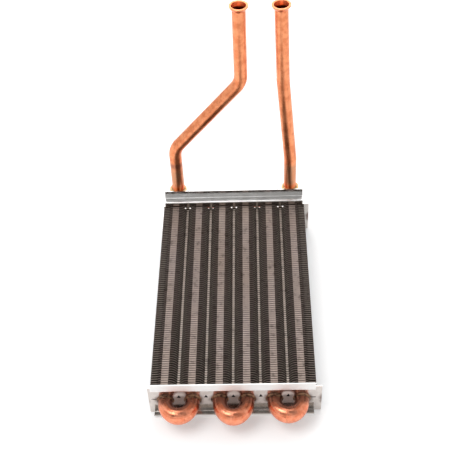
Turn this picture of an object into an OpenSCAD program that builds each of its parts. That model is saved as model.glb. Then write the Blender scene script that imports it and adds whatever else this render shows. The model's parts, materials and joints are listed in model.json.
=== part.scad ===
// Finned tube heat exchanger: six tubes between two folded end plates, joined in one run by return
// bends, with an inlet and an outlet pipe that rise from the far end.
// Origin: under the middle of the near end plate's foot. X runs across the tubes, Y along them.

/* [Core] */
// Length between the inner faces of the two end plates
core_l = 289.6; // [120:0.1:400]
// Distance between the axes of neighbouring tubes
tube_pitch = 30.8; // [26:0.1:40]
// Outside diameter of the core tubes
tube_d = 15; // [12:0.1:17]
// Wall of the core tubes
tube_wall = 0.8; // [0.5:0.1:1.5]
// Height of the tube axes above the feet
tube_z = 23.5; // [20:0.1:26]
// Length of each tube end outside its end plate
tube_stub = 3; // [2:0.1:5.5]
// Space between a tube's end and the end of the straight socket around it
stub_gap = 0.2; // [0.1:0.1:0.3]
// Radial clearance of the tubes in the fins and the end plates
tube_fit = 0.1; // [0.05:0.01:0.3]

/* [Fins] */
// Width of each fin
fin_w = 186.4; // [180:0.1:220]
// Thickness of each fin
fin_t = 0.4; // [0.2:0.05:0.6]
// Distance from one fin to the next
fin_pitch = 3.2; // [3:0.1:6]
// Least space between an end plate and its nearest fin or tab
fin_end_gap = 0.6; // [0.3:0.1:6]
// Height of the fins' straight lower edge
fin_low_z = 1; // [0.5:0.1:5]
// Height of the flat dome over each tube
dome_z = 46; // [42:0.1:50]
// Width of the flat top of a dome
dome_flat = 10.6; // [8:0.1:11]
// Radius of a dome's shoulders
dome_r = 8.2; // [7:0.1:9]
// Depth of the valley between two domes
valley_drop = 5.6; // [3:0.1:6.5]
// Distance from the outermost tubes' axes to where the outer ledge starts
ledge_start = 7.4; // [6:0.1:10]
// Drop of the ledge at its start
ledge_drop = 0.9; // [0.4:0.1:3]
// Further drop of the ledge towards the fin's side
ledge_slope = 0.7; // [0.2:0.1:3]
// Width of the tab folded over at each dome
dome_tab_w = 8.2; // [5:0.1:8.5]
// Length of the tab folded over at each dome
dome_tab_l = 2; // [1:0.1:2.3]
// Width of the tab folded over in each valley
valley_tab_w = 2.6; // [1.5:0.1:3.5]
// Length of the tab folded over in each valley
valley_tab_l = 1.5; // [0.8:0.1:2.3]

/* [End plates] */
// Sheet thickness of the end plates
plate_t = 1; // [0.8:0.1:1.5]
// Width of the end plates over their flanges
plate_w = 182.6; // [180:0.1:200]
// Height of the top flange
plate_h = 53; // [51:0.1:60]
// Reach of the top flange from the web
top_flange = 9.2; // [8:0.1:10.4]
// Height of the lip above the top flange
lip_h = 11.8; // [5:0.1:15]
// Reach of the foot, the bottom flange, from the web
foot_reach = 7.8; // [7:0.1:16]
// Height of the foot's edge, which slopes up at 45 degrees
foot_edge_h = 4; // [2:0.1:4.5]
// Inside radius of the folds
fold_r = 0.6; // [0.4:0.1:1]
// Distance from mid width to the left side of the near web's left ear
ear_left = 96; // [94:0.1:110]
// Distance from mid width to the left side of the far web's left ear
far_ear_left = 93.5; // [93:0.1:110]
// Distance from mid width to the right side of the right ears
ear_right = 99.3; // [94:0.1:110]
// Height of the ears
ear_h = 46.6; // [35:0.1:48]
// Diameter of the paired small holes between the tubes
pair_hole_d = 2.5; // [1.5:0.1:4]
// Distance between the two holes of a pair
pair_gap = 6.2; // [5:0.1:8]
// Height of the paired holes
pair_z = 42.3; // [40:0.1:45]
// Width of the three-cornered holes between the tubes
corner_hole_w = 4.6; // [3:0.1:6]
// Height of the three-cornered holes from base to tip
corner_hole_h = 5.2; // [3:0.1:7]
// Height of the base of the three-cornered holes above the feet
corner_hole_z = 27.6; // [22:0.1:30]
// Length of the slot near each side of the web
slot_l = 5.6; // [3:0.1:7]
// Width of the slot near each side of the web
slot_h = 1.4; // [1:0.1:3]
// Distance from mid width to the middle of the side slots
slot_x = 89.9; // [88:0.1:90]
// Height of the side slots
slot_z = 25.5; // [15:0.1:35]

/* [Return bends] */
// Reach of the bends' curved centre line past their straight legs, but for the middle near bend
bend_reach = 18.5; // [16:0.1:25]
// Reach of the middle near bend's curved centre line past its straight legs
mid_bend_reach = 20.5; // [16:0.1:25]
// Wall of the return bends
bend_wall = 0.7; // [0.5:0.1:1]
// Radial clearance between a return bend and the tube ends inside it
bend_fit = 0.1; // [0.08:0.01:0.3]
// Half width of the bend's section at its middle, in plan
bend_mid_half_w = 9; // [8.6:0.1:10]
// Half height of the bend's section at its middle
bend_mid_half_h = 11; // [9:0.1:13]
// Width of the braze fillets round the tube ends
braze_w = 1.8; // [1:0.1:2.5]
// Length of the braze fillets along the tubes
braze_l = 2.4; // [1:0.1:4]
// Clearance under the braze fillets
braze_fit = 0.05; // [0.02:0.01:0.1]

/* [Elbows] */
// Radius of the elbows' centre line
elbow_r = 16; // [15:0.1:20]
// Outside diameter of the elbows
elbow_d = 17; // [16:0.1:18]
// Length of the elbow's leg from the end plate to its curve
elbow_leg = 6; // [5.8:0.1:12]
// Bore of the elbows' curve
elbow_bore = 14; // [10:0.1:14.5]
// Rise of the elbow's second leg from its curve to the pipe socket's floor
socket_floor = 5; // [4:0.1:10]
// Depth of the pipe socket
socket_depth = 12.5; // [8:0.1:16]
// Wall of the pipe socket
socket_wall = 1.3; // [1:0.1:1.8]
// Height of the thick rim of the pipe socket
socket_rim_h = 3.5; // [2:0.1:5]
// Width of the rim beyond the socket's wall
socket_rim_w = 1.8; // [0.5:0.1:2.8]
// Clearance between a pipe and its socket
socket_fit = 0.1; // [0.05:0.01:0.2]
// Space between a pipe's lower end and the floor of its socket
socket_gap = 0.3; // [0.1:0.1:1]
// Lean of the inlet elbow towards mid width, in degrees
inlet_lean = 4.7; // [0:0.1:8]
// Lean of the outlet elbow towards mid width, in degrees
outlet_lean = 2.8; // [0:0.1:8]

/* [Pipes] */
// Outside diameter of the inlet and outlet pipes
pipe_d = 16; // [15:0.1:17]
// Wall of the pipes
pipe_wall = 1; // [0.6:0.1:1.5]
// Height of both pipes' mouths above the feet
pipe_top_z = 336; // [310:0.1:400]
// Rise of the pipes from the tube axis, along the lean, to their first slight bend
pipe_root = 40; // [38.5:0.1:50]
// Radius of the pipes' slight bends
slight_bend_r = 60; // [30:1:100]
// Radius of the inlet pipe's two main bends
inlet_bend_r = 28; // [20:1:40]
// Height of the inlet pipe's lower main bend
inlet_low_z = 127; // [110:0.1:140]
// Height of the inlet pipe's upper main bend
inlet_high_z = 230.4; // [200:0.1:260]
// Distance of the inlet mouth to the right of mid width
inlet_mouth_x = 14.1; // [0:0.1:30]
// Height of the outlet pipe's lower slight bend
outlet_low_z = 107; // [90:0.1:140]
// Height of the outlet pipe's upper slight bend
outlet_high_z = 232; // [200:0.1:280]
// Distance of the outlet pipe's upper slight bend to the right of mid width
outlet_high_x = 65; // [58:0.1:72]
// Distance of the outlet mouth to the right of mid width
outlet_mouth_x = 62.3; // [56:0.1:70]
// Distance from a pipe's bend to the joint past it, where one node ends and the next one starts
joint_rise = 2; // [1:0.1:20]
// Outside diameter of the rim at each mouth
rim_d = 22; // [20:0.1:24]
// Thickness of the rim at each mouth
rim_t = 1.2; // [0.8:0.1:2]
// Diameter of the opening at each mouth
mouth_d = 17.4; // [15.5:0.1:18]
// Height of the flare under each mouth
flare_h = 5.5; // [4:0.1:8]

/* [Hidden] */
$fn = 64;

tube_count = 6;
near_y = foot_reach / 2;
core_y = near_y + plate_t;
far_y = core_y + core_l + plate_t;
pipe_y = far_y + elbow_leg + elbow_r;
tube_hole_d = tube_d + 2 * tube_fit;
fold_out_r = fold_r + plate_t;

tab_reach = fin_t / 2 + max(dome_tab_l, valley_tab_l);
fin_room = core_l - 2 * fin_end_gap - tab_reach - fin_t / 2;
fin_count = 1 + floor(fin_room / fin_pitch);
fin_run = (fin_count - 1) * fin_pitch;
first_fin_y = core_y + fin_end_gap + tab_reach + (fin_room - fin_run) / 2;
fin_groups = 5;
cut_margin = 1;

bend_root_r = tube_d / 2 + bend_fit + bend_wall;
bend_sides = 24;
// How far a pipe's straight stretches run into its arcs, and how much fuller the arcs are, so that
// the stretches meet in clean edges
bend_lap = 0.5;
bend_swell = 0.1;
bend_steps = 20;
stub_socket_l = tube_stub + stub_gap;
stub_socket_d = tube_d + 2 * tube_fit;

pipe_socket_d = pipe_d + 2 * socket_fit;
socket_outer_d = pipe_socket_d + 2 * socket_wall;
socket_base = elbow_r + socket_floor;
pipe_start = socket_base + socket_gap;

plate_colour = [0.78, 0.79, 0.78];
fin_colour = [0.42, 0.37, 0.34];
copper_colour = [0.85, 0.5, 0.35];
braze_colour = [0.78, 0.62, 0.3];

function tube_x(n) = (n - (tube_count + 1) / 2) * tube_pitch;

// Moves its children so that their local +Z runs along the tubes from the near web's outer face
module along_tubes(x, y) {
  translate([x, y, tube_z]) rotate([-90, 0, 0]) children();
}

// One quarter of a fold in section: a ring sector about a corner's centre, in the quadrant [sx, sz]
module fold_section(at, sx, sz) {
  translate(at) intersection() {
    difference() {
      circle(r = fold_out_r);
      circle(r = fold_r);
    }
    translate([sx > 0 ? 0 : -fold_out_r, sz > 0 ? 0 : -fold_out_r]) square(fold_out_r);
  }
}

// Section of an end plate: x is the distance outward from the web's outer face, y is the height
module plate_section() {
  web_c = fold_out_r - plate_t;
  rise = foot_edge_h - plate_t * cos(45);
  flat_end = foot_reach - rise;
  translate([-plate_t, fold_out_r]) square([plate_t, plate_h - 2 * fold_out_r]);
  translate([web_c, plate_h - plate_t]) square([top_flange - fold_out_r - web_c, plate_t]);
  translate([top_flange - plate_t, plate_h + fold_r]) square([plate_t, lip_h - fold_r]);
  polygon([
    [web_c, 0], [flat_end, 0], [foot_reach, rise], [foot_reach - plate_t * sin(45), foot_edge_h],
    [flat_end - plate_t * tan(22.5), plate_t], [web_c, plate_t]
  ]);
  fold_section([web_c, plate_h - fold_out_r], -1, 1);
  fold_section([top_flange - fold_out_r, plate_h + fold_r], 1, -1);
  fold_section([web_c, fold_out_r], -1, -1);
}

// An end plate whose web's outer face is the plane y = 0 and whose flanges reach towards -Y
module end_plate(left_reach) {
  color(plate_colour) difference() {
    union() {
      mirror([0, 1, 0]) rotate([90, 0, 90])
        linear_extrude(height = plate_w, center = true) plate_section();
      translate([-left_reach, 0, 0]) cube([left_reach - plate_w / 2, plate_t, ear_h]);
      translate([plate_w / 2, 0, 0]) cube([ear_right - plate_w / 2, plate_t, ear_h]);
    }
    for (n = [1:tube_count])
      along_tubes(tube_x(n), -cut_margin) cylinder(h = plate_t + 2 * cut_margin, d = tube_hole_d);
    for (n = [1:tube_count - 1]) {
      gap_x = (tube_x(n) + tube_x(n + 1)) / 2;
      for (side = [-1, 1])
        translate([gap_x + side * pair_gap / 2, -cut_margin, pair_z])
          rotate([-90, 0, 0]) cylinder(h = plate_t + 2 * cut_margin, d = pair_hole_d);
      translate([gap_x, plate_t + cut_margin, corner_hole_z]) rotate([90, 0, 0])
        linear_extrude(height = plate_t + 2 * cut_margin)
          polygon([[-corner_hole_w / 2, 0], [corner_hole_w / 2, 0], [0, corner_hole_h]]);
    }
    for (side = [-1, 1])
      translate([side * slot_x - slot_l / 2, -cut_margin, slot_z - slot_h / 2])
        cube([slot_l, plate_t + 2 * cut_margin, slot_h]);
  }
}

module near_end_plate() {
  translate([0, near_y, 0]) end_plate(ear_left);
}

module far_end_plate() {
  translate([0, far_y, 0]) mirror([0, 1, 0]) end_plate(far_ear_left);
}

module tube(n) {
  length = far_y - near_y + 2 * tube_stub;
  color(copper_colour) along_tubes(tube_x(n), near_y - tube_stub) difference() {
    cylinder(h = length, d = tube_d);
    translate([0, 0, -cut_margin])
      cylinder(h = length + 2 * cut_margin, d = tube_d - 2 * tube_wall);
  }
}

// The space cut out between two domes, both shoulders left round
module valley(x) {
  half = tube_pitch / 2 - dome_flat / 2;
  translate([x, dome_z]) difference() {
    translate([-half, -valley_drop]) square([2 * half, valley_drop + cut_margin]);
    for (side = [-1, 1]) translate([side * half, -dome_r]) circle(r = dome_r);
  }
}

// The corner cut off above the ledge at each side of a fin
module ledge_cut() {
  start = tube_x(tube_count) + ledge_start;
  side = fin_w / 2 + cut_margin;
  slope = ledge_slope * (side - start) / (fin_w / 2 - start);
  polygon([
    [start - ledge_drop, dome_z], [start, dome_z - ledge_drop],
    [side, dome_z - ledge_drop - slope], [side, dome_z + cut_margin],
    [start - ledge_drop, dome_z + cut_margin]
  ]);
}

module fin_outline() {
  difference() {
    translate([-fin_w / 2, fin_low_z]) square([fin_w, dome_z - fin_low_z]);
    for (n = [1:tube_count - 1]) valley((tube_x(n) + tube_x(n + 1)) / 2);
    ledge_cut();
    mirror([1, 0]) ledge_cut();
    for (n = [1:tube_count]) translate([tube_x(n), tube_z]) circle(d = tube_hole_d);
  }
}

// A fin in the plane y = 0, with its tabs folded towards the near end
module fin() {
  translate([0, fin_t / 2, 0]) rotate([90, 0, 0]) linear_extrude(height = fin_t) fin_outline();
  for (n = [1:tube_count])
    translate([tube_x(n) - dome_tab_w / 2, -fin_t / 2 - dome_tab_l, dome_z - fin_t])
      cube([dome_tab_w, dome_tab_l + fin_t, fin_t]);
  for (n = [1:tube_count - 1])
    translate([(tube_x(n) + tube_x(n + 1)) / 2 - valley_tab_w / 2,
        -fin_t / 2 - valley_tab_l, dome_z - valley_drop - fin_t])
      cube([valley_tab_w, valley_tab_l + fin_t, fin_t]);
}

// One of the groups that the fins are listed in, each fin a solid of its own
module fins(group) {
  first = ceil(fin_count * (group - 1) / fin_groups);
  last = ceil(fin_count * group / fin_groups) - 1;
  color(fin_colour) for (n = [first:last])
    translate([0, first_fin_y + n * fin_pitch, 0]) fin();
}

// A point of one ring of a return bend's section: the ring stands square to the centre line at the
// turn angle t, and a is the angle round the section
function bend_point(t, a, wall, reach) =
  let (
    half = tube_pitch / 2,
    blend = pow(sin(t), 2),
    w = bend_root_r + (bend_mid_half_w - bend_root_r) * blend - wall,
    h = bend_root_r + (bend_mid_half_h - bend_root_r) * blend - wall,
    run = [-half * sin(t), reach * cos(t)],
    out = [run[1], -run[0]] / norm(run)
  )
  [half * cos(t) + out[0] * w * cos(a), stub_socket_l + reach * sin(t) + out[1] * w * cos(a),
    h * sin(a)];

// All rings of one skin of a return bend, from one end face to the other
function bend_rings(wall, reach) =
  let (
    turns = [for (i = [0:bend_steps]) 180 * i / bend_steps],
    angles = [for (j = [0:bend_sides - 1]) 360 * j / bend_sides]
  )
  concat(
    [[for (a = angles) let (p = bend_point(0, a, wall, reach)) [p[0], 0, p[2]]]],
    [for (t = turns) [for (a = angles) bend_point(t, a, wall, reach)]],
    [[for (a = angles) let (p = bend_point(180, a, wall, reach)) [p[0], 0, p[2]]]]
  );

// A hollow return bend that leaves the plane y = 0 towards +Y and joins two neighbouring tubes
module return_bend(reach) {
  outer = bend_rings(0, reach);
  inner = bend_rings(bend_wall, reach);
  rings = len(outer);
  skin = rings * bend_sides;
  points = [for (ring = concat(outer, inner)) for (p = ring) p];
  function quad(a, b, c, d) = [[a, b, c], [a, c, d]];
  faces = [
    for (i = [0:rings - 2]) for (j = [0:bend_sides - 1])
      let (k = (j + 1) % bend_sides, a = i * bend_sides, b = a + bend_sides)
      each concat(
        quad(a + j, a + k, b + k, b + j),
        quad(skin + b + j, skin + b + k, skin + a + k, skin + a + j)
      ),
    for (j = [0:bend_sides - 1])
      let (k = (j + 1) % bend_sides, e = (rings - 1) * bend_sides)
      each concat(quad(j, skin + j, skin + k, k), quad(e + j, e + k, skin + e + k, skin + e + j))
  ];
  color(copper_colour) polyhedron(points, faces, convexity = 6);
}

// The near bend with this number, from left to right
module near_return_bend(number) {
  n = 2 * number - 1;
  middle = n == tube_count / 2;
  translate([(tube_x(n) + tube_x(n + 1)) / 2, near_y, tube_z]) mirror([0, 1, 0])
    return_bend(middle ? mid_bend_reach : bend_reach);
}

// The far bend with this number, from left to right
module far_return_bend(number) {
  n = 2 * number;
  translate([(tube_x(n) + tube_x(n + 1)) / 2, far_y, tube_z]) return_bend(bend_reach);
}

// A braze fillet that stands on z = 0 round a tube of radius r
module braze_ring(r) {
  inner = r + braze_fit;
  color(braze_colour) rotate_extrude()
    polygon([[inner, 0], [inner + braze_w, 0], [inner + braze_w / 3, braze_l / 3], [inner, braze_l]]);
}

module near_braze_rings() {
  for (n = [1:tube_count])
    translate([tube_x(n), near_y, tube_z]) rotate([90, 0, 0]) braze_ring(bend_root_r);
}

module far_braze_rings() {
  for (n = [1:tube_count])
    along_tubes(tube_x(n), far_y)
      braze_ring(n == 1 || n == tube_count ? elbow_d / 2 : bend_root_r);
}

// Turns its children, drawn in a frame whose +Z rises from the tube axis, to the lean of one elbow
module leaning(n, lean) {
  translate([tube_x(n), pipe_y, tube_z]) rotate([0, lean, 0]) children();
}

// Quarter turn of radius elbow_r in the plane x = 0, from the tube's direction to upright
module elbow_turn(d) {
  translate([0, -elbow_r, elbow_r]) rotate([0, 90, 0]) rotate_extrude(angle = 90)
    translate([elbow_r, 0]) circle(d = d);
}

// A hollow elbow from the end plate to a pipe socket; lean turns it about the tube's axis
module elbow(n, lean) {
  socket_top = socket_base + socket_depth;
  color(copper_colour) leaning(n, lean) difference() {
    union() {
      translate([0, -elbow_r - elbow_leg, 0]) rotate([-90, 0, 0])
        cylinder(h = elbow_leg, d = elbow_d);
      elbow_turn(elbow_d);
      translate([0, 0, elbow_r]) cylinder(h = socket_floor + cut_margin, d = elbow_d);
      translate([0, 0, socket_base - socket_floor / 2])
        cylinder(h = socket_floor / 2, d1 = elbow_d, d2 = socket_outer_d);
      translate([0, 0, socket_base]) cylinder(h = socket_depth, d = socket_outer_d);
      translate([0, 0, socket_top - socket_rim_h])
        cylinder(h = socket_rim_h, d = socket_outer_d + 2 * socket_rim_w);
    }
    translate([0, -elbow_r - elbow_leg - cut_margin, 0]) rotate([-90, 0, 0]) {
      cylinder(h = stub_socket_l + cut_margin, d = stub_socket_d);
      cylinder(h = elbow_leg + cut_margin, d = elbow_bore);
    }
    elbow_turn(elbow_bore);
    translate([0, 0, elbow_r]) cylinder(h = socket_floor + cut_margin, d = elbow_bore);
    translate([0, 0, socket_base]) cylinder(h = socket_depth + cut_margin, d = pipe_socket_d);
  }
}

module inlet_elbow() {
  elbow(1, inlet_lean);
}

module outlet_elbow() {
  elbow(tube_count, -outlet_lean);
}

// A point in the pipes' upright plane, as [x, z], at a rise along the lean of tube n's elbow
function on_lean(n, lean, rise) = [tube_x(n) + rise * sin(lean), tube_z + rise * cos(lean)];

// Angle from upright of the stretch from a to b, towards +X
function heading(a, b) = atan2(b[0] - a[0], b[1] - a[1]);

// How far from its corner an arc of radius r starts, where the route turns at corner i
function setback(route, radii, i) =
  i == 0 || i == len(route) - 1 ? 0
    : radii[i] * tan(abs(heading(route[i], route[i + 1]) - heading(route[i - 1], route[i])) / 2);

// A round bar of radius r along a route of [x, z] points, with an arc at each inner point; over
// lengthens both ends. It is drawn stretch by stretch, each in the frame at the end of the last one:
// +Z runs on along the stretch i, and flip is -1 where the frame's +X faces the other way.
// Its children stand at the end of the route.
module bar(route, radii, r, over, i = 0, flip = 1) {
  last = len(route) - 1;
  length = norm(route[i + 1] - route[i]) - setback(route, radii, i) - setback(route, radii, i + 1)
    + (i == 0 ? over : 0) + (i == last - 1 ? over : 0);
  lap_in = i == 0 ? 0 : bend_lap;
  lap_out = i == last - 1 ? 0 : bend_lap;
  translate([0, 0, -lap_in]) cylinder(h = lap_in + length + lap_out, r = r);
  if (i == last - 1)
    translate([0, 0, length - over]) children();
  else {
    turn = heading(route[i + 1], route[i + 2]) - heading(route[i], route[i + 1]);
    away = turn * flip > 0;
    bend_r = radii[i + 1];
    translate([0, 0, length]) rotate([0, 0, away ? 180 : 0]) translate([-bend_r, 0, 0]) {
      rotate([90, 0, 0]) rotate_extrude(angle = abs(turn))
        translate([bend_r, 0]) circle(r = r + bend_swell);
      rotate([0, -abs(turn), 0]) translate([bend_r, 0, 0])
        bar(route, radii, r, over, i + 1, away ? -flip : flip) children();
    }
  }
}

// Places a bar's first stretch, whose frame starts over before the route does
module at_start(route, over) {
  translate([route[0][0], pipe_y, route[0][1]]) rotate([0, heading(route[0], route[1]), 0])
    translate([0, 0, -over]) children();
}

// The corners of each pipe's route, from its socket to its mouth, and the radii of the arcs there
inlet_root = on_lean(1, inlet_lean, pipe_root);
inlet_route = [on_lean(1, inlet_lean, pipe_start), inlet_root, [inlet_root[0], inlet_low_z],
  [inlet_mouth_x, inlet_high_z], [inlet_mouth_x, pipe_top_z]];
inlet_radii = [0, slight_bend_r, inlet_bend_r, inlet_bend_r, 0];
outlet_root = on_lean(tube_count, -outlet_lean, pipe_root);
outlet_route = [on_lean(tube_count, -outlet_lean, pipe_start), outlet_root,
  [outlet_root[0], outlet_low_z], [outlet_high_x, outlet_high_z], [outlet_mouth_x, pipe_top_z]];
outlet_radii = [0, slight_bend_r, slight_bend_r, slight_bend_r, 0];

// The corners past which each pipe is parted: its lower main bend and its upper one
lower_bend = 2;
upper_bend = 3;

// Where a pipe is parted, past the arc at one corner of its route
function joint_past(route, radii, corner) =
  let (run = route[corner + 1] - route[corner])
  route[corner] + (setback(route, radii, corner) + joint_rise) * run / norm(run);

// The stretch of a pipe from its socket, where from is 0, or else from the joint past that corner, to
// the joint past the corner to
module bent_pipe(route, radii, from, to) {
  start = from == 0 ? route[0] : joint_past(route, radii, from);
  bent = [start, for (i = [from + 1:to]) route[i], joint_past(route, radii, to)];
  bends = [0, for (i = [from + 1:to]) radii[i], 0];
  color(copper_colour) difference() {
    at_start(bent, 0) bar(bent, bends, pipe_d / 2, 0);
    at_start(bent, cut_margin) bar(bent, bends, pipe_d / 2 - pipe_wall, cut_margin);
  }
}

// The straight end of a pipe, from the joint to its flared and rimmed mouth
module pipe_end(route, radii) {
  straight = [joint_past(route, radii, upper_bend), route[len(route) - 1]];
  r = pipe_d / 2;
  bore_r = r - pipe_wall;
  mouth_r = mouth_d / 2;
  color(copper_colour) difference() {
    at_start(straight, 0) bar(straight, [0, 0], r, 0) rotate_extrude()
      polygon([[0, -flare_h], [r, -flare_h], [rim_d / 2, -rim_t], [rim_d / 2, 0], [0, 0]]);
    at_start(straight, cut_margin) bar(straight, [0, 0], bore_r, cut_margin) rotate_extrude()
      polygon([[0, -flare_h], [bore_r, -flare_h], [mouth_r, 0], [mouth_r, cut_margin], [0, cut_margin]]);
  }
}

// The braze fillets on top of the two pipe sockets
module pipe_braze_rings() {
  socket_top = socket_base + socket_depth;
  leaning(1, inlet_lean) translate([0, 0, socket_top]) braze_ring(pipe_d / 2);
  leaning(tube_count, -outlet_lean) translate([0, 0, socket_top]) braze_ring(pipe_d / 2);
}

near_end_plate();
far_end_plate();
tube(1);  // tube_1
tube(2);  // tube_2
tube(3);  // tube_3
tube(4);  // tube_4
tube(5);  // tube_5
tube(6);  // tube_6
fins(1);  // fins_near
fins(2);  // fins_near_middle
fins(3);  // fins_middle
fins(4);  // fins_far_middle
fins(5);  // fins_far
near_return_bend(1);  // near_return_bend_1
near_return_bend(2);  // near_return_bend_2
near_return_bend(3);  // near_return_bend_3
far_return_bend(1);  // far_return_bend_1
far_return_bend(2);  // far_return_bend_2
inlet_elbow();
outlet_elbow();
bent_pipe(inlet_route, inlet_radii, 0, lower_bend);  // inlet_pipe
bent_pipe(inlet_route, inlet_radii, lower_bend, upper_bend);  // inlet_pipe_middle
pipe_end(inlet_route, inlet_radii);  // inlet_pipe_end
bent_pipe(outlet_route, outlet_radii, 0, lower_bend);  // outlet_pipe
bent_pipe(outlet_route, outlet_radii, lower_bend, upper_bend);  // outlet_pipe_middle
pipe_end(outlet_route, outlet_radii);  // outlet_pipe_end
near_braze_rings();
far_braze_rings();
pipe_braze_rings();
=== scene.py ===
import json
import math

import bpy
from mathutils import Matrix, Vector


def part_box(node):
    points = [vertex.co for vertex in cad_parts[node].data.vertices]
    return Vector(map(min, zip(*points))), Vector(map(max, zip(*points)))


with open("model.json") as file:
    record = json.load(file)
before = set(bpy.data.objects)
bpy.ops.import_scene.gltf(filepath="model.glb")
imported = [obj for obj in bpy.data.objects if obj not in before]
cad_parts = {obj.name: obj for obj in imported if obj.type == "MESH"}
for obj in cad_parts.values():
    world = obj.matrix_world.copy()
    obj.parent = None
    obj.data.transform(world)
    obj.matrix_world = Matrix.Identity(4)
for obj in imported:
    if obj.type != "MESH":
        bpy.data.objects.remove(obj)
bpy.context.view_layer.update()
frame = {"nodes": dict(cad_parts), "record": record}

# Places, in metres, worked out from the CAD nodes
near_low, near_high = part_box("near_end_plate")
far_low, far_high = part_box("far_end_plate")
tube_one = sum(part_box("tube_1"), Vector()) / 2
tube_two = sum(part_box("tube_2"), Vector()) / 2
tube_pitch = tube_two.x - tube_one.x
dome_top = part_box("fins_far")[1].z

# The fins' domes, as the part's source has them
DOME_FLAT = 0.0106
DOME_RADIUS = 0.0082
VALLEY_DROP = 0.0056
LEDGE_DROP = 0.0013

# The lip's height above the end plates' top flange, and a radius just outside the pipes' bore that
# tells the bore's wall from the pipe's outside
LIP_HEIGHT = 0.0118
PIPE_BORE = 0.0072

# Where the near bends' curved centre lines start, and their reach from there
BEND_START = 0.0007
BEND_REACH = 0.019

# The camera, as found from the photograph
CAMERA_PLACE = (0.03004, -0.58222, 0.89565)
CAMERA_DOWN = 45.93
CAMERA_YAW = -1.98
CAMERA_ROLL = -2.52
CAMERA_LENS = 70.2

# The darker and the lighter copper of the pipes, and of the bends and elbows
PIPE_TONES = ((0.74, 0.235, 0.10, 1), (0.90, 0.345, 0.165, 1))
BEND_TONES = ((0.78, 0.235, 0.12, 1), (0.93, 0.35, 0.205, 1))

# How bright the studio is all round, and in the dim patch behind the camera
SKY_BRIGHT = 0.9
SKY_BY_CAMERA = 0.18


class Look:
    """One procedural material, built node by node round a Principled shader."""

    def __init__(self, name):
        self.material = bpy.data.materials.new(name)
        self.material.use_nodes = True
        self.tree = self.material.node_tree
        self.shader = self.tree.nodes["Principled BSDF"]
        self.place = self.add("ShaderNodeTexCoord").outputs["Object"]

    def add(self, kind, **facts):
        """A new node, with its settings."""
        node = self.tree.nodes.new(kind)
        for name, value in facts.items():
            setattr(node, name, value)
        return node

    def feed(self, socket, value):
        """Links an output to a socket, or sets the socket's value."""
        if isinstance(value, bpy.types.NodeSocket):
            self.tree.links.new(value, socket)
        else:
            socket.default_value = value

    def maths(self, operation, first, second=0.0, clamp=False):
        """The result of one sum."""
        node = self.add("ShaderNodeMath", operation=operation, use_clamp=clamp)
        self.feed(node.inputs[0], first)
        self.feed(node.inputs[1], second)
        return node.outputs[0]

    def vector(self, operation, first, second=(0.0, 0.0, 0.0)):
        """The result of one sum with vectors."""
        node = self.add("ShaderNodeVectorMath", operation=operation)
        self.feed(node.inputs[0], first)
        self.feed(node.inputs[1], second)
        return node.outputs["Value" if operation == "LENGTH" else "Vector"]

    def axis(self, name):
        """One coordinate of the surface point, in metres."""
        return self.parts().outputs[name]

    def parts(self):
        """The surface point, split in X, Y and Z."""
        if not hasattr(self, "split"):
            self.split = self.add("ShaderNodeSeparateXYZ")
            self.feed(self.split.inputs[0], self.place)
        return self.split

    def within(self, value, low, high, soft):
        """1 where a value lies between two limits, with soft edges."""
        up = self.ramp(value, low - soft, low + soft)
        down = self.ramp(value, high + soft, high - soft)
        return self.maths("MULTIPLY", up, down)

    def ramp(self, value, start, end, low=0.0, high=1.0):
        """A value carried from one range smoothly to another."""
        node = self.add("ShaderNodeMapRange", interpolation_type="SMOOTHSTEP")
        for socket, given in zip(node.inputs, (value, start, end, low, high)):
            self.feed(socket, given)
        return node.outputs[0]

    def stretched(self, scale):
        """The surface point, stretched along each axis."""
        node = self.add("ShaderNodeMapping")
        self.feed(node.inputs["Vector"], self.place)
        self.feed(node.inputs["Scale"], scale)
        return node.outputs[0]

    def noise(self, scale, detail=3.0, rough=0.55, vector=None):
        """Noise from 0 to 1."""
        node = self.add("ShaderNodeTexNoise")
        self.feed(node.inputs["Vector"], vector or self.place)
        self.feed(node.inputs["Scale"], scale)
        self.feed(node.inputs["Detail"], detail)
        self.feed(node.inputs["Roughness"], rough)
        return node.outputs[0]

    def cells(self, scale, vector=None, output="Color"):
        """Grains of random colour, or the distance in each."""
        node = self.add("ShaderNodeTexVoronoi")
        self.feed(node.inputs["Vector"], vector or self.place)
        self.feed(node.inputs["Scale"], scale)
        return node.outputs[output]

    def blend(self, amount, first, second, kind="MIX"):
        """Two colours mixed by an amount from 0 to 1."""
        node = self.add("ShaderNodeMix", data_type="RGBA", blend_type=kind)
        colours = [s for s in node.inputs if s.type == "RGBA"]
        self.feed(node.inputs[0], amount)
        self.feed(colours[0], first)
        self.feed(colours[1], second)
        return [s for s in node.outputs if s.type == "RGBA"][0]

    def bump(self, height, depth, after=None):
        """Fine relief of a given depth, in metres."""
        node = self.add("ShaderNodeBump")
        self.feed(node.inputs["Height"], height)
        self.feed(node.inputs["Distance"], depth)
        if after is not None:
            self.feed(node.inputs["Normal"], after)
        return node.outputs[0]

    def finish(self, colour, rough, metal, normal=None):
        """Sets the shader's own sockets."""
        self.feed(self.shader.inputs["Base Color"], colour)
        self.feed(self.shader.inputs["Roughness"], rough)
        self.feed(self.shader.inputs["Metallic"], metal)
        if normal is not None:
            self.feed(self.shader.inputs["Normal"], normal)
        return self.material


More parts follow.
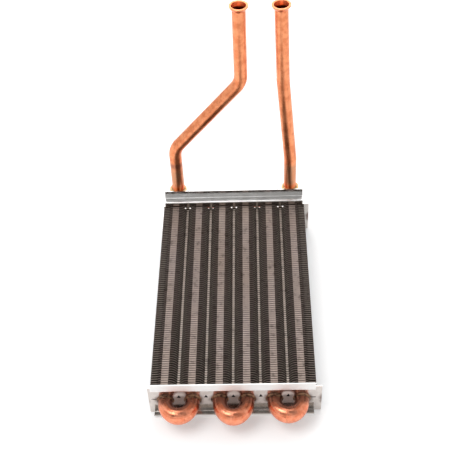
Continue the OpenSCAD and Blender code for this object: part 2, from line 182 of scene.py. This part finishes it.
def steel():
    """Galvanised sheet, with spangle, streaks and a little buckle; painted light makes the flanges
    brighter than the duller, warmer webs, and painted shade darkens the far lip.
    """
    look = Look("galvanised_steel")
    tone = look.add("ShaderNodeRGBToBW")
    look.feed(tone.inputs[0], look.cells(210.0))
    streaks = look.noise(1.0, 4.0, 0.6, look.stretched((26.0, 700.0, 700.0)))
    buckle = look.noise(16.0, 1.0, 0.4)
    # Painted light and shade: a bright sheet colour on the top flanges, and a duller, warmer one on the
    # webs, whose warm tint is a painted reflection of the copper.
    bright = look.blend(tone.outputs[0], (0.86, 0.85, 0.835, 1), (0.95, 0.945, 0.935, 1))
    dull = look.blend(tone.outputs[0], (0.60, 0.555, 0.52, 1), (0.70, 0.655, 0.62, 1))
    flange_top = near_high.z - LIP_HEIGHT
    painted_light_on_flange = look.ramp(look.axis("Z"), flange_top - 0.0015, flange_top - 0.0002)
    colour = look.blend(painted_light_on_flange, dull, bright)
    far_side = look.ramp(look.axis("Y"), far_low.y - 0.02, far_low.y - 0.01)
    lip = look.ramp(look.axis("Z"), flange_top + 0.0004, flange_top + 0.0010)
    # Painted shade: the far plate's lip is darkened.
    colour = look.blend(look.maths("MULTIPLY", lip, far_side), colour, (0.62, 0.61, 0.60, 1))
    specks = look.ramp(look.cells(900.0, output="Distance"), 0.22, 0.08, 0.0, 0.55)
    thin = look.ramp(look.noise(45.0, 2.0), 0.52, 0.66)
    colour = look.blend(look.maths("MULTIPLY", specks, thin), colour, (0.40, 0.35, 0.31, 1))
    # Dark brown on the webs: heat tarnish round each tube, and painted shade between the near bends'
    # legs.
    colour = look.blend(tarnish_and_painted_shade(look), colour, (0.13, 0.075, 0.058, 1))
    colour = look.blend(look.ramp(streaks, 0.58, 0.78, 0.0, 0.35), colour, (0.42, 0.39, 0.36, 1))
    grain = look.ramp(tone.outputs[0], 0.0, 1.0, 0.0, 0.10)
    sheet = look.within(look.axis("Z"), flange_top - 0.0012, flange_top + 0.0005, 0.0003)
    near_lip = look.maths("MULTIPLY", lip, look.maths("SUBTRACT", 1.0, far_side))
    colour = look.blend(near_lip, colour, (0.80, 0.795, 0.785, 1))
    matt = look.maths("MAXIMUM", look.maths("MULTIPLY", sheet, 0.6), near_lip)
    rough = look.maths("ADD", grain, look.ramp(matt, 0.0, 1.0, 0.12, 0.36))
    relief = look.bump(streaks, 0.00003, look.bump(buckle, 0.0010))
    return look.finish(colour, rough, 1.0, relief)


def tarnish_and_painted_shade(look):
    """Heat tarnish on the webs round each tube, and painted shade on the near webs between the legs of
    the near bends.
    """
    across = look.maths("ABSOLUTE", look.axis("X"))
    sideways = look.maths("SUBTRACT", tube_pitch / 2, look.maths("PINGPONG", across, tube_pitch / 2))
    upward = look.maths("SUBTRACT", look.axis("Z"), tube_one.z)
    square = look.maths("ADD", look.maths("MULTIPLY", sideways, sideways),
                        look.maths("MULTIPLY", upward, upward))
    wander = look.maths("MULTIPLY", look.noise(180.0, 4.0), 0.006)
    reach = look.maths("ADD", look.maths("SQRT", square), wander)
    halo = look.ramp(reach, 0.0175, 0.0115, 0.0, 0.85)
    legs = look.ramp(look.maths("PINGPONG", across, tube_pitch), tube_pitch / 2 + 0.001,
                     tube_pitch / 2 - 0.001)
    # Painted shade: a band of the near webs between each bend's legs, from 13 to 34 mm up.
    painted_shade_band = look.within(look.maths("ADD", look.axis("Z"), wander), 0.013, 0.034, 0.003)
    near = look.ramp(look.axis("Y"), 0.02, 0.01, 0.0, 0.7)
    return look.maths("MAXIMUM", halo, look.maths("MULTIPLY", look.maths("MULTIPLY", legs, painted_shade_band), near))


def fin_depth(look):
    """How far a point lies below the wavy top edge of the fins, in metres."""
    across = look.maths("ABSOLUTE", look.axis("X"))
    from_valley = look.maths("PINGPONG", across, tube_pitch / 2)
    past_flat = look.maths("SUBTRACT", (tube_pitch - DOME_FLAT) / 2, from_valley)
    past_flat = look.maths("MAXIMUM", past_flat, 0.0)
    square = look.maths("SUBTRACT", DOME_RADIUS ** 2, look.maths("MULTIPLY", past_flat, past_flat))
    arc = look.maths("SQRT", look.maths("MAXIMUM", square, 0.0))
    fall = look.maths("MINIMUM", look.maths("SUBTRACT", DOME_RADIUS, arc), VALLEY_DROP)
    outside = look.maths("GREATER_THAN", across, -tube_one.x)
    ledge = look.ramp(across, -tube_one.x + DOME_FLAT / 2, -tube_one.x + DOME_FLAT, 0.0, LEDGE_DROP)
    inside = look.maths("MULTIPLY", fall, look.maths("SUBTRACT", 1.0, outside))
    fall = look.maths("ADD", inside, look.maths("MULTIPLY", ledge, outside))
    height = look.maths("SUBTRACT", dome_top, fall)
    return look.maths("SUBTRACT", height, look.axis("Z"))


def fin():
    """Tarnished fin sheet, with painted light and shade: near black deep inside the core, pale along its
    top edges and tabs.
    """
    look = Look("tarnished_fin_painted_light_and_shade")
    mottle = look.noise(160.0, 4.0)
    drift = look.noise(14.0, 2.0)
    depth = fin_depth(look)
    dark = look.blend(mottle, (0.006, 0.004, 0.003, 1), (0.026, 0.018, 0.014, 1))
    brown = look.blend(drift, (0.115, 0.082, 0.062, 1), (0.12, 0.098, 0.090, 1))
    # Painted light: a pale colour along the fins' top edges and tabs, lighter still on the flanks.
    pale = look.blend(drift, (0.255, 0.190, 0.148, 1), (0.265, 0.216, 0.200, 1))
    flank = look.ramp(look.axis("Z"), dome_top - 0.0005, dome_top - 0.0018)
    pale = look.blend(flank, pale, (0.36, 0.30, 0.255, 1))
    # Painted shade: brown and then near black with depth below the top edge, where shade falls between
    # the fins.
    colour = look.blend(look.ramp(depth, 0.0010, 0.0030), brown, dark)
    edge = look.maths("ADD", depth, look.maths("MULTIPLY", look.noise(320.0, 3.0), 0.0006))
    colour = look.blend(look.ramp(edge, 0.0005, 0.0012), pale, colour)
    colour = look.blend(look.ramp(mottle, 0.55, 0.72, 0.0, 0.6), colour, (0.05, 0.036, 0.028, 1))
    return look.finish(colour, look.ramp(mottle, 0.3, 0.7, 0.42, 0.6), 0.35,
                       look.bump(mottle, 0.00008))


def copper(name, pipe=False, olive=False):
    """Drawn copper tube: salmon, with lengthwise streaks, small pits and heat tint at its root, and with
    painted shade on the near bends' inner crowns and in the pipes' bores.
    """
    look = Look(name)
    streaks = look.noise(1.0, 5.0, 0.62, look.stretched((420.0, 420.0, 14.0)))
    clouds = look.noise(60.0, 3.0)
    mottle = look.ramp(look.noise(130.0, 5.0, 0.65), 0.38, 0.62)
    tones = PIPE_TONES if pipe else BEND_TONES
    colour = look.blend(mottle, *tones)
    colour = look.blend(look.ramp(streaks, 0.52, 0.74, 0.0, 0.55), colour, (0.42, 0.15, 0.08, 1))
    pits = look.cells(330.0, output="Distance")
    colour = look.blend(look.ramp(pits, 0.16, 0.05, 0.0, 0.4), colour, (0.25, 0.09, 0.05, 1))
    if not pipe and not olive:
        # Dark red-brown on the near bends: scorch on the legs, and painted shade on the inner side of the
        # crowns.
        colour = look.blend(scorch_and_painted_shade_on_bends(look, clouds), colour, (0.34, 0.145, 0.10, 1))
    if pipe:
        height = look.axis("Z")
        uneven = look.ramp(look.noise(90.0, 3.0), 0.3, 0.7, 0.55, 1.0)
        scorch = look.maths("MULTIPLY", look.within(height, 0.067, 0.100, 0.006), uneven)
        colour = look.blend(scorch, colour, (0.56, 0.27, 0.15, 1))
        on_inlet = look.ramp(look.axis("X"), 0.0, -0.01, 0.0, 0.6)
        ring = look.maths("MULTIPLY", look.within(height, 0.099, 0.107, 0.003), uneven)
        colour = look.blend(look.maths("MULTIPLY", ring, on_inlet), colour, (0.17, 0.06, 0.06, 1))
        glow = look.maths("MULTIPLY", look.within(height, 0.055, 0.066, 0.003), 0.8)
        colour = look.blend(glow, colour, (0.80, 0.22, 0.07, 1))
        # Painted shade: a darker red on the wall of each pipe's bore near its mouth.
        colour = look.blend(in_mouth(look), colour, (0.50, 0.13, 0.05, 1))
    if olive:
        colour = look.blend(look.ramp(clouds, 0.3, 0.7, 0.4, 0.85), colour, (0.36, 0.24, 0.10, 1))
    smooth = 0.28 if pipe else 0.22
    rough = look.ramp(clouds, 0.3, 0.7, smooth, smooth + 0.12)
    return look.finish(colour, rough, 1.0, look.bump(streaks, 0.00008))


def scorch_and_painted_shade_on_bends(look, wander):
    """Scorch on the near bends' legs, and painted shade on the inner side of their crowns."""
    across = look.maths("ABSOLUTE", look.axis("X"))
    sideways = look.maths("DIVIDE", look.maths("PINGPONG", across, tube_pitch), tube_pitch / 2)
    along = look.maths("MAXIMUM", look.maths("SUBTRACT", BEND_START, look.axis("Y")), 0.0)
    along = look.maths("DIVIDE", along, BEND_REACH)
    turn = look.maths("SQRT", look.maths("ADD", look.maths("MULTIPLY", sideways, sideways),
                                         look.maths("MULTIPLY", along, along)))
    turn = look.maths("ADD", turn, look.maths("MULTIPLY", wander, 0.16))
    # Painted shade: the inner side of each crown.
    inner = look.ramp(turn, 1.10, 0.98, 0.0, 0.85)
    leg = look.ramp(look.axis("Y"), -0.011, -0.004, 0.0, 0.8)
    near = look.ramp(look.axis("Y"), 0.02, 0.01)
    return look.maths("MULTIPLY", look.maths("MAXIMUM", inner, leg), near)


def in_mouth(look):
    """1 on the wall of a pipe's bore near its mouth."""
    found = 0.0
    for mount in frame["record"]["mounts"]:
        if mount["kind"] == "bore":
            offset = look.vector("SUBTRACT", look.place, mount["pos_m"])
            reach = look.vector("LENGTH", look.vector("CROSS_PRODUCT", offset, mount["axis"]))
            inside = look.ramp(reach, PIPE_BORE + 0.0002, PIPE_BORE - 0.0002)
            found = look.maths("MAXIMUM", inside, found)
    return look.maths("MULTIPLY", found, look.ramp(look.axis("Z"), 0.300, 0.310))


def braze(name, dark, light):
    """Brazing fillet: lumpy and a little scorched."""
    look = Look(name)
    lumps = look.noise(260.0, 4.0)
    colour = look.blend(look.ramp(lumps, 0.35, 0.65), dark, light)
    return look.finish(colour, look.ramp(lumps, 0.3, 0.7, 0.25, 0.5), 0.9, look.bump(lumps, 0.0005))


def ground():
    """Plain pale floor, lifted towards white for the camera and for reflections."""
    look = Look("floor")
    colour = look.blend(look.noise(40.0, 2.0), (0.80, 0.80, 0.80, 1), (0.84, 0.84, 0.84, 1))
    look.finish(colour, 0.9, 0.0)
    look.feed(look.shader.inputs["Emission Color"], (1, 1, 1, 1))
    look.feed(look.shader.inputs["Emission Strength"], look.maths("MULTIPLY", seen(look.tree), 0.3))
    return look.material


def seen(tree):
    """1 for rays that the camera sees at once or in metal and glass, and 0 for plain light."""
    path = tree.nodes.new("ShaderNodeLightPath")
    found = path.outputs["Is Camera Ray"]
    for kind in ("Is Glossy Ray", "Is Transmission Ray"):
        either = tree.nodes.new("ShaderNodeMath")
        either.operation = "MAXIMUM"
        tree.links.new(found, either.inputs[0])
        tree.links.new(path.outputs[kind], either.inputs[1])
        found = either.outputs[0]
    return found


steel_look = steel()
fin_look = fin()
bend_look = copper("copper_bend")
pipe_look = copper("copper_pipe", pipe=True)
elbow_look = copper("copper_elbow", olive=True)
gold_braze = braze("gold_braze", (0.30, 0.19, 0.07, 1), (0.83, 0.62, 0.34, 1))
dark_braze = braze("dark_braze", (0.09, 0.045, 0.03, 1), (0.34, 0.19, 0.11, 1))


def look_for(name):
    """The material of a CAD node."""
    if "plate" in name:
        return steel_look
    if name.startswith("fins"):
        return fin_look
    if "braze" in name:
        return gold_braze if name.startswith("pipe") else dark_braze
    if "elbow" in name:
        return elbow_look
    return pipe_look if "pipe" in name else bend_look


for name, node in frame["nodes"].items():
    for number in range(len(node.data.materials)):
        node.data.materials[number] = look_for(name)


def plane(name, across, along, place, turn, material):
    """A flat stage piece."""
    mesh = bpy.data.meshes.new(name)
    x, y = across / 2, along / 2
    mesh.from_pydata([(-x, -y, 0), (x, -y, 0), (x, y, 0), (-x, y, 0)], [], [(0, 1, 2, 3)])
    mesh.materials.append(material)
    made = bpy.data.objects.new(name, mesh)
    bpy.context.scene.collection.objects.link(made)
    made.location = place
    made.rotation_euler = turn
    return made


def lamp(name, place, aim, width, power):
    """A soft square lamp that faces a point."""
    data = bpy.data.lights.new(name, "AREA")
    data.shape = "SQUARE"
    data.size = width
    data.energy = power
    made = bpy.data.objects.new(name, data)
    bpy.context.scene.collection.objects.link(made)
    made.location = place
    made.rotation_euler = (Vector(aim) - Vector(place)).to_track_quat("-Z", "Y").to_euler()
    return made


middle = (0.0, (near_low.y + far_high.y) / 2, 0.05)
plane("floor", 8.0, 8.0, (0.0, 0.15, 0.0), (0.0, 0.0, 0.0), ground())
lamp("key_lamp", (-0.6, -0.1, 1.4), middle, 0.9, 9.0)
lamp("back_lamp", (0.1, 1.1, 1.3), middle, 1.0, 9.0)
lamp("front_lamp", (0.1, -1.3, 0.65), middle, 1.3, 3.2)

world = bpy.data.worlds.new("studio")
world.use_nodes = True
bpy.context.scene.world = world
sky = world.node_tree.nodes["Background"]
direction = world.node_tree.nodes.new("ShaderNodeTexCoord").outputs["Generated"]
toward_camera = world.node_tree.nodes.new("ShaderNodeVectorMath")
toward_camera.operation = "DOT_PRODUCT"
toward_camera.inputs[1].default_value = (Vector(CAMERA_PLACE) - Vector(middle)).normalized()
world.node_tree.links.new(direction, toward_camera.inputs[0])
sky_light = world.node_tree.nodes.new("ShaderNodeMapRange")
sky_light.interpolation_type = "SMOOTHSTEP"
for socket, given in zip(list(sky_light.inputs)[1:], (0.55, 0.88, SKY_BRIGHT, SKY_BY_CAMERA)):
    socket.default_value = given
world.node_tree.links.new(toward_camera.outputs["Value"], sky_light.inputs["Value"])
strength = world.node_tree.nodes.new("ShaderNodeMath")
strength.operation = "MAXIMUM"
path = world.node_tree.nodes.new("ShaderNodeLightPath")
world.node_tree.links.new(path.outputs["Is Camera Ray"], strength.inputs[0])
world.node_tree.links.new(sky_light.outputs[0], strength.inputs[1])
world.node_tree.links.new(strength.outputs[0], sky.inputs["Strength"])
sky.inputs["Color"].default_value = (1, 1, 1, 1)

pitch, yaw, roll = (math.radians(a) for a in (CAMERA_DOWN, CAMERA_YAW, CAMERA_ROLL))
ahead = Vector((math.cos(pitch) * math.sin(yaw), math.cos(pitch) * math.cos(yaw), -math.sin(pitch)))
level = Vector((math.cos(yaw), -math.sin(yaw), 0.0))
upward = level.cross(ahead)
side = math.cos(roll) * level + math.sin(roll) * upward
top = -math.sin(roll) * level + math.cos(roll) * upward
camera_data = bpy.data.cameras.new("camera")
camera_data.lens = CAMERA_LENS
camera_data.clip_start = 0.01
camera = bpy.data.objects.new("camera", camera_data)
bpy.context.scene.collection.objects.link(camera)
camera.matrix_world = Matrix.Translation(CAMERA_PLACE) @ Matrix((side, top, -ahead)).transposed().to_4x4()
bpy.context.scene.camera = camera
bpy.context.scene.view_settings.view_transform = "Standard"
